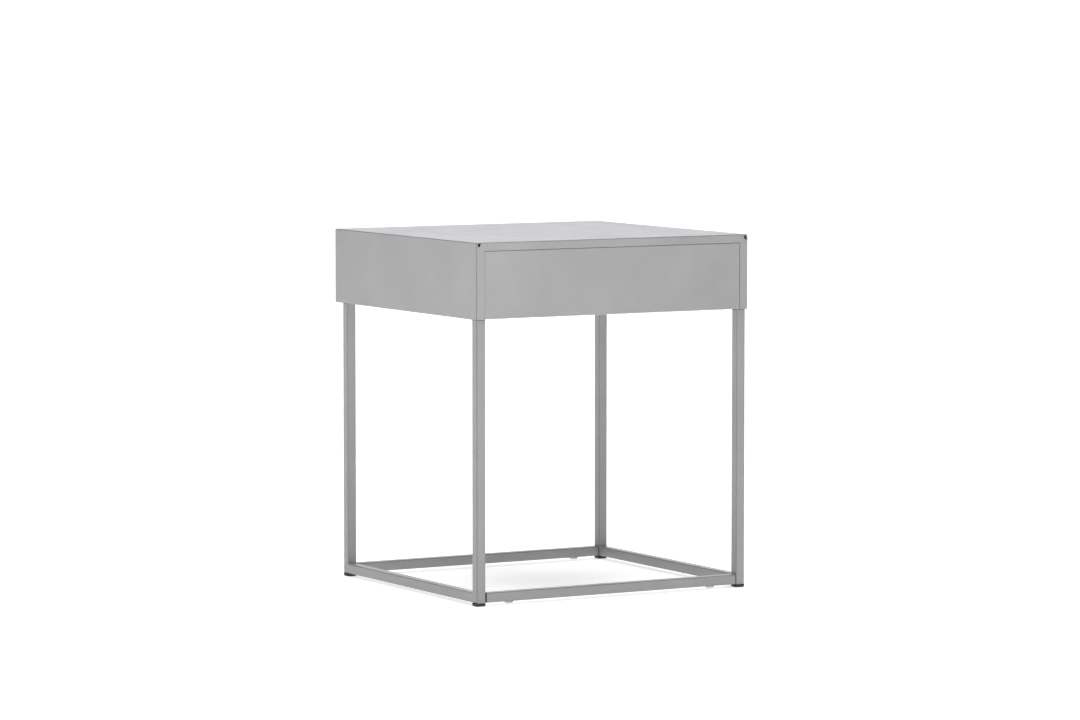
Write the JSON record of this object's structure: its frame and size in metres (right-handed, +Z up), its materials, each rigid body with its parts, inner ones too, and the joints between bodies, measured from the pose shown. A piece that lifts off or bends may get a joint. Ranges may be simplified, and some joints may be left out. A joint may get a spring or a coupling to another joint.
{
  "type": "side table",
  "caption": "Square side table: a folded sheet-metal case with a drawer on ball-bearing slides, standing on an open frame of square tube.",
  "frame": {"origin": "on the floor, under the middle of the case", "axes": "+Z up; -Y is the drawer's side and the way the drawer opens; +X to the right as seen from the front"},
  "size_m": [0.472, 0.45, 0.54],
  "materials": {
    "light_grey_powder_coat": "light grey powder coat, satin",
    "light_grey_frame_coat": "light grey powder coat, satin",
    "zinc_plated_steel": "zinc plated",
    "black_plastic": "matte black"
  },
  "bodies": {
    "table": {"casing_shell": "light_grey_powder_coat", "back_panel": "light_grey_powder_coat", "bottom_panel": "light_grey_powder_coat", "slide_bracket_left": "light_grey_powder_coat", "slide_bracket_right": "light_grey_powder_coat", "leg_front_left": "light_grey_frame_coat", "foot_front_left": "black_plastic", "spigot_front_left": "light_grey_frame_coat", "crossbar_bolt_front_left": "zinc_plated_steel", "frame_bolt_front_left": "zinc_plated_steel", "slide_rivet_front_left": "zinc_plated_steel", "leg_front_right": "light_grey_frame_coat", "foot_front_right": "black_plastic", "spigot_front_right": "light_grey_frame_coat", "crossbar_bolt_front_right": "zinc_plated_steel", "frame_bolt_front_right": "zinc_plated_steel", "slide_rivet_front_right": "zinc_plated_steel", "leg_back_left": "light_grey_frame_coat", "foot_back_left": "black_plastic", "spigot_back_left": "light_grey_frame_coat", "crossbar_bolt_back_left": "zinc_plated_steel", "frame_bolt_back_left": "zinc_plated_steel", "slide_rivet_back_left": "zinc_plated_steel", "leg_back_right": "light_grey_frame_coat", "foot_back_right": "black_plastic", "spigot_back_right": "light_grey_frame_coat", "crossbar_bolt_back_right": "zinc_plated_steel", "frame_bolt_back_right": "zinc_plated_steel", "slide_rivet_back_right": "zinc_plated_steel", "bottom_rail_left": "light_grey_frame_coat", "top_rail_left": "light_grey_frame_coat", "slide_outer_left": "zinc_plated_steel", "bottom_rail_right": "light_grey_frame_coat", "top_rail_right": "light_grey_frame_coat", "slide_outer_right": "zinc_plated_steel", "crossbar_front": "light_grey_frame_coat", "crossbar_back": "light_grey_frame_coat"},
    "drawer": {"drawer_front": "light_grey_powder_coat", "drawer_tray": "light_grey_powder_coat", "drawer_inner_front": "light_grey_powder_coat", "drawer_back": "light_grey_powder_coat", "front_screw_low_left": "zinc_plated_steel", "front_screw_high_left": "zinc_plated_steel", "drawer_slide_screw_front_left": "zinc_plated_steel", "drawer_slide_screw_back_left": "zinc_plated_steel", "slide_inner_left": "zinc_plated_steel", "front_screw_low_right": "zinc_plated_steel", "front_screw_high_right": "zinc_plated_steel", "drawer_slide_screw_front_right": "zinc_plated_steel", "drawer_slide_screw_back_right": "zinc_plated_steel", "slide_inner_right": "zinc_plated_steel"},
    "outer_cage_left": {"ball_cage_outer_left": "zinc_plated_steel"},
    "middle_left": {"slide_middle_left": "zinc_plated_steel"},
    "inner_cage_left": {"ball_cage_inner_left": "zinc_plated_steel"},
    "outer_cage_right": {"ball_cage_outer_right": "zinc_plated_steel"},
    "middle_right": {"slide_middle_right": "zinc_plated_steel"},
    "inner_cage_right": {"ball_cage_inner_right": "zinc_plated_steel"},
    "lever_left": {"release_lever_left": "black_plastic"},
    "lever_right": {"release_lever_right": "black_plastic"}
  },
  "joints": [
    {"name": "drawer_slide", "type": "slide", "parent": "table", "child": "drawer", "axis": [0, -1, 0], "range_m": [0, 0.37]},
    {"name": "outer_cage_left_slide", "type": "slide", "parent": "table", "child": "outer_cage_left", "axis": [0, -1, 0], "range_m": [0, 0.0925]},
    {"name": "middle_left_slide", "type": "slide", "parent": "table", "child": "middle_left", "axis": [0, -1, 0], "range_m": [0, 0.185]},
    {"name": "inner_cage_left_slide", "type": "slide", "parent": "table", "child": "inner_cage_left", "axis": [0, -1, 0], "range_m": [0, 0.2775]},
    {"name": "outer_cage_right_slide", "type": "slide", "parent": "table", "child": "outer_cage_right", "axis": [0, -1, 0], "range_m": [0, 0.0925]},
    {"name": "middle_right_slide", "type": "slide", "parent": "table", "child": "middle_right", "axis": [0, -1, 0], "range_m": [0, 0.185]},
    {"name": "inner_cage_right_slide", "type": "slide", "parent": "table", "child": "inner_cage_right", "axis": [0, -1, 0], "range_m": [0, 0.2775]},
    {"name": "release_lever_left_pivot", "type": "hinge", "parent": "drawer", "child": "lever_left", "pos_m": [-0.2169, -0.035, 0.475], "axis": [1, 0, 0], "range_deg": [-5, 5], "stiffness_Nm_per_rad": 0.02},
    {"name": "release_lever_right_pivot", "type": "hinge", "parent": "drawer", "child": "lever_right", "pos_m": [0.2169, -0.035, 0.475], "axis": [1, 0, 0], "range_deg": [-5, 5], "stiffness_Nm_per_rad": 0.02}
  ],
  "couplings": [
    {"joint": "outer_cage_left_slide", "follows": "drawer_slide", "ratio": 0.25},
    {"joint": "middle_left_slide", "follows": "drawer_slide", "ratio": 0.5},
    {"joint": "inner_cage_left_slide", "follows": "drawer_slide", "ratio": 0.75},
    {"joint": "outer_cage_right_slide", "follows": "drawer_slide", "ratio": 0.25},
    {"joint": "middle_right_slide", "follows": "drawer_slide", "ratio": 0.5},
    {"joint": "inner_cage_right_slide", "follows": "drawer_slide", "ratio": 0.75}
  ]
}
